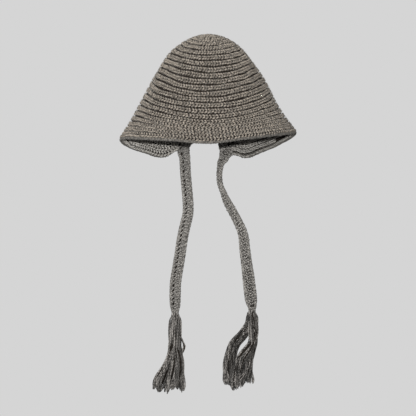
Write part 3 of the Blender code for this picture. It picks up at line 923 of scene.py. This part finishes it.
# %% Locks of the tassels
TASSEL_LENGTH = 0.144
BINDING_HEIGHT = 0.0050
TASSEL_LOCKS = {  # in thousandths of the tassel's length
    "left": (
        # radius, then points of (across, back, down)
        (46, (-10, -10, 100), (-35, -20, 360), (-60, -20, 500), (-130, -15, 660),
         (-205, -10, 800), (-250, 0, 925)),
        (46, (-20, 20, 120), (-30, 20, 400), (-50, 20, 560), (-115, 15, 720), (-175, 10, 870),
         (-200, 10, 970)),
        (36, (0, -30, 120), (5, -30, 420), (-5, -30, 580), (-45, -20, 760), (-90, -10, 950)),
        (46, (10, 30, 120), (30, 30, 420), (30, 25, 620), (0, 20, 800), (-30, 10, 930)),
        (46, (20, -20, 120), (22, -20, 360), (48, -20, 470), (70, -20, 620), (55, -15, 800),
         (45, -10, 920)),
        (40, (35, 10, 100), (30, 10, 360), (58, 10, 460), (78, 10, 600), (85, 10, 780),
         (88, 0, 940)),
        (17, (45, 0, 220), (88, 0, 320), (113, 0, 380), (113, 0, 440), (75, 0, 520)),
    ),
    "right": (
        (50, (-20, 0, 100), (-90, 0, 220), (-180, 0, 305), (-255, 0, 390), (-295, 0, 510),
         (-328, 0, 670), (-322, 0, 800), (-300, 0, 920)),
        (44, (-10, 20, 120), (-70, 25, 255), (-135, 25, 355), (-205, 20, 445), (-255, 15, 570),
         (-260, 10, 780), (-235, 10, 970)),
        (44, (0, -20, 120), (10, -20, 340), (-55, -20, 450), (-135, -20, 545), (-175, -15, 660),
         (-185, -10, 800), (-185, -10, 950)),
        (44, (10, 30, 120), (20, 30, 340), (-10, 30, 500), (-70, 20, 640), (-110, 10, 780),
         (-125, 10, 930)),
        (44, (20, -30, 120), (20, -30, 360), (0, -30, 520), (-40, -20, 700), (-70, -10, 880)),
        (36, (35, 10, 120), (33, 10, 340), (10, 10, 500), (-15, 10, 660), (-30, 0, 780),
         (-18, 0, 900)),
        (32, (45, -20, 140), (45, -40, 300), (-10, -45, 420), (-100, -40, 530), (-180, -35, 660),
         (-225, -30, 840), (-235, -20, 970)),
        (20, (-15, -30, 60), (5, -65, 160), (45, -65, 260), (30, -65, 360), (-30, -65, 480),
         (-120, -65, 620), (-155, -60, 780), (-150, -50, 940)),
        (16, (10, -50, 300), (-20, -60, 600), (-70, -60, 740), (-150, -60, 850),
         (-250, -50, 900)),
    ),
}
# the locks whose strands take the darker yarn of painted shade
PAINTED_SHADE_LOCKS = {"left": (1, 4), "right": (1, 3, 4)}  # rows, counted from 0
# painted shade: dark tubes in the ground's colour where the bundle's inside lies in shade
SHADES = {  # the dark inside of the bundle, seen where its locks part
    "left": (
        (42, (0, 40, 300), (-10, 35, 560), (-75, 30, 740), (-140, 30, 1010)),
    ),
    "right": (
        (26, (0, 40, 200), (0, 45, 450), (-120, 40, 620), (-200, 30, 900)),
        (24, (-20, 30, 140), (-70, 40, 240), (-150, 40, 340), (-225, 40, 440), (-280, 30, 560),
         (-290, 30, 750), (-270, 20, 900)),
    ),
}
print("locks:", *(len(locks) for locks in TASSEL_LOCKS.values()))

# %% [markdown]
# Hair particles would be quick, but they give no mesh to export. So every strand is a tube
# that follows the route of its lock, with its own place in it, its own waves and its own
# length. In a thick lock they are laid in three ropes that coil round each other.

# %% Strands of the tassels
STRAND_RADIUS = 0.00105
STRAND_STEPS = 30
ROPES = 3  # in a lock
THIN_LOCK = 0.02  # a lock up to this radius has one rope
STRANDS = 7  # in a rope of a lock of the usual thickness
USUAL_LOCK = 0.046
STRAND_REACH = {"left": 1.065, "right": 1.035}  # how far the strands run past a lock's last point
LOCK_FULLNESS = 1.35  # how much wider the strands lie than the lock's solid
# a lock's dark core, in the ground's colour, is painted shade inside the bundle
CORE_SHARE = 0.62  # how thick a lock's dark core is, as a share of its radius


def tassel_top(side):
    """The middle of a tassel's top, just under the binding."""
    return tie_foot(side) - np.array([0, 0, BINDING_HEIGHT + 2 * CLEARANCE])


def in_shares(locks):
    """Radii and routes of locks, as shares of the tassel's length."""
    return [(radius / 1000, np.array(route) / 1000) for radius, *route in locks]


def lock_line(route, reach):
    """Points of a lock's middle line. It begins in the neck and may run on past its last point."""
    points = [(0.3 * route[0][0], 0.3 * route[0][1], -0.01), *route]
    table = [(i / (len(points) - 1), *point) for i, point in enumerate(points)]
    table.append((1.2, *(np.array(points[-1]) * 2 - np.array(points[-2]))))
    return np.stack([read_table(table, reach, i + 1) for i in range(3)], axis=-1)


def strand_paths(side):
    """Paths of every strand of a tassel, which of them lie deep and take the painted shade, and
    the paths of every lock's dark core of painted shade, in metres."""
    t = np.linspace(0, 1, STRAND_STEPS)
    open_up = 0.78 + 0.30 * smooth_step(0.0, 0.10, t) - 0.20 * smooth_step(0.2, 0.4, t)
    open_up += 0.22 * smooth_step(0.5, 0.9, t)
    open_up *= 1 - 0.4 * smooth_step(0.92, 1.0, t)
    strands, deep, cores = [], [], [lock_line(route, t) for _, route in in_shares(SHADES[side])]
    for number, (radius, route) in enumerate(in_shares(TASSEL_LOCKS[side])):
        full = radius * LOCK_FULLNESS
        ropes = ROPES if radius > THIN_LOCK else 1
        count = max(3, round((radius / USUAL_LOCK) ** 2 * STRANDS)) if ropes > 1 else 3
        coil, roll = rng.uniform(1.5, 3.0) * rng.choice((-1, 1)), rng.uniform(0, PHASE)
        cores.append(lock_line(route, t * 0.98))
        for rope in range(ropes):
            around = roll + 2.1 * rope + coil * t
            off = full * (0.50 if ropes > 1 else 0.0) * open_up
            twist = rng.uniform(3.0, 6.0) * rng.choice((-1, 1))
            wave = full * 0.16 * np.sin(t * rng.uniform(7, 13) + rng.uniform(0, PHASE))
            wave *= smooth_step(0.25, 0.7, t)
            for strand in range(count):
                share = 0.25 if strand == 0 else rng.uniform(0.8, 1.0)
                turn = 6.28 * strand / (count - 1) + twist * t
                ring = full * (0.36 if ropes > 1 else 0.6) * share * open_up
                reach = t * (STRAND_REACH[side] + rng.uniform(0.0, 0.03) - 0.035 * share)
                stray = full * 0.07 * np.sin(t * rng.uniform(9, 24) + rng.uniform(0, PHASE))
                x = off * np.cos(around) + ring * np.cos(turn) + wave + stray
                y = off * np.sin(around) + ring * np.sin(turn)
                offset = np.stack([x, 0.8 * y, np.zeros_like(t)], axis=-1)
                strands.append(lock_line(route, reach) + offset)
                deep.append(number in PAINTED_SHADE_LOCKS[side])
    top, scale = tassel_top(side), np.array([1, 1, -1]) * TASSEL_LENGTH
    return top + np.array(strands) * scale, np.array(deep), top + np.array(cores) * scale


def tassel_piece(side):
    """A tassel's strands in two copies of its yarn, a lighter one and a darker one of painted shade
    for the deeper locks, round their locks' dark cores of painted shade.
    """
    paths, deep, cores = strand_paths(side)
    radii = np.full(paths.shape[:2], STRAND_RADIUS) * rng.uniform(0.75, 1.2, (len(paths), 1))
    radii[:, -1] *= 0.6
    sizes = np.array([[lock[0] / 1000] for lock in SHADES[side] + TASSEL_LOCKS[side]])
    taper = np.minimum(1.0, 1.25 - np.linspace(0, 1, STRAND_STEPS) ** 6)
    piece = tube_piece(
        f"strands_{side}",
        (paths[~deep], radii[~deep], TO_EYE, tassel_yarns[side], 5),
        (paths[deep], radii[deep], TO_EYE, painted_shade_yarns[side], 5),
        (cores, sizes * TASSEL_LENGTH * CORE_SHARE * taper, TO_EYE, ground, 8),
    )
    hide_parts(f"tassel_{side}")
    return piece


# %% [markdown]
# The neck between strap and tassel is bound with a few tight turns of the same yarn: one
# tube wound round an oval, its ends tucked in.

# %% Bindings
BINDING_WIDTH = 0.0135
BINDING_THICKNESS = 0.0095
BINDING_TURNS = 3.5
BINDING_INSET = 0.0009  # of the yarn's middle, from the binding's outer side
BINDING_YARN = 0.00105


def binding_piece(side):
    """The yarn wound round a tie's foot."""
    turn = np.linspace(0, 2 * np.pi * BINDING_TURNS, 80)
    height = np.linspace(0.0, -BINDING_HEIGHT, 80) - CLEARANCE
    x = (BINDING_WIDTH / 2 - BINDING_INSET) * np.cos(turn)
    y = (BINDING_THICKNESS / 2 - BINDING_INSET) * np.sin(turn)
    path = tie_foot(side) + np.stack([x, y, height], axis=-1)
    coil = ([path], BINDING_YARN, (0.0, 0.0, 1.0), tassel_yarns[side], 8)
    piece = tube_piece(f"wound_binding_{side}", coil)
    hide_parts(f"binding_{side}")
    return piece


# %% [markdown]
# A tie is limp, and its binding and tassel move with it. Each tie is built here with its
# core, its binding, its tassel and the yarns between flap and tie.

# %% Ties with what hangs on them
for side in ("left", "right"):
    tie, core = strap_piece(side)
    binding = binding_piece(side)
    tassel = tassel_piece(side)
    fillet = tube_piece(f"flap_fillet_{side}", (*flap_fillet(side), tie_yarn, 6))
    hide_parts(f"tie_{side}")
    line, foot = strap_line(side)[0][::7], tie_foot(side)

# %% [markdown]
# ## Loose fibres
# Wool is never smooth: short fibres stand off every loop and soften the outline. A few
# thousand thin, bent hairs over the outer face do the same here.

# %% Fibres on the outer face
FIBRES = 7000
FIBRE_RADIUS = 0.00010


def loose_fibres():
    """Paths, radii and up of the hairs, each with one bend."""
    row = np.sqrt(rng.uniform(0.0, 1.0, FIBRES))
    place, around, down, outward = fabric_frame(row, rng.uniform(0, 360, FIBRES))
    reach = rng.uniform(0.0012, 0.0028, (FIBRES, 1))
    slant = rng.normal(0, 0.0012, (2, FIBRES, 1))
    middle = place + outward * (0.0006 + reach * 0.7) + around * slant[0] * 0.4
    tip = place + outward * (0.0006 + reach) + around * slant[0] * 1.4 + down * slant[1]
    return np.stack([place, middle, tip], axis=1), FIBRE_RADIUS, around[:, None]


# the hairs take the inner face's lighter yarn, so they carry its painted light too
fibres = tube_piece("loose_fibres", (*loose_fibres(), inside_yarn_painted_light, 3))

# %% [markdown]
# ## Light, backdrop and floor
# The hat stands in soft light before a pale backdrop. A wide panel from the left gives the
# form, a small one in front fills the flaps' inner faces and leaves a line of shadow under
# the rim, and one behind keeps the back from going black.

# %% Lamps
LIGHT_AIM = Vector((0, 0, -0.10))


def area_light(name, place, size, power, spread):
    """A soft round panel that points at the bell. The spread, in degrees, is its beam's width."""
    data = bpy.data.lights.new(name, "AREA")
    data.shape, data.size, data.energy, data.spread = "DISK", size, power, math.radians(spread)
    light = new_object(name, data)
    light.location = place
    light.rotation_euler = (LIGHT_AIM - light.location).to_track_quat("-Z", "Y").to_euler()
    print(f"{name}: {power} W from {place.length:.1f} m")


area_light("key", Vector((-2.0, -2.25, 1.15)), 1.4, 4.0, 42)
area_light("front", Vector((0.0, -3.15, 0.245)), 0.06, 4.0, 42)
area_light("back", Vector((1.0, 3.1, 0.30)), 1.8, 4.5, 60)

# %% [markdown]
# The light from below is weaker than that from above, while the backdrop is even. So the
# world shows one tone to the camera and another to all other rays.

# %% World
BACKDROP, ABOVE, BELOW = 0.665, 0.335, 0.02
world = bpy.data.worlds.new("studio")
world.use_nodes = True
tree = world.node_tree
direction = add_node(tree, "TexCoord", "Generated")
height = add_node(tree, "SeparateXYZ", "Z", {"Vector": direction})
span = {"From Min": -0.25, "From Max": 0.6, "To Min": BELOW, "To Max": ABOVE}
sky = add_node(tree, "MapRange", "Result", {"Value": height, **span})
seen = add_node(tree, "LightPath", "Is Camera Ray")
strength = add_node(tree, "Mix", "Result", {"Factor": seen, "A": sky, "B": BACKDROP})
set_inputs(tree.nodes["Background"], {"Color": (1, 1, 1, 1), "Strength": strength})
bpy.context.scene.world = world
bpy.context.scene.view_settings.view_transform = "Standard"
print(f"light of {BELOW} from below to {ABOVE} from above, backdrop {BACKDROP}")

# %% [markdown]
# The floor is a plain pale disk, far enough below that the tassels hang free of it.

# %% Floor
FLOOR_HEIGHT = -1.35
bpy.ops.mesh.primitive_circle_add(
    vertices=96, radius=1.1, fill_type="NGON", location=(0, 0, FLOOR_HEIGHT)
)
floor = bpy.context.object
floor.name = "floor"
paint, _, _ = new_material("floor_paint", {"Base Color": (0.66, 0.66, 0.66, 1), "Roughness": 0.9})
floor.data.materials.append(paint)
print(f"floor {-FLOOR_HEIGHT:.2f} m below the crown")
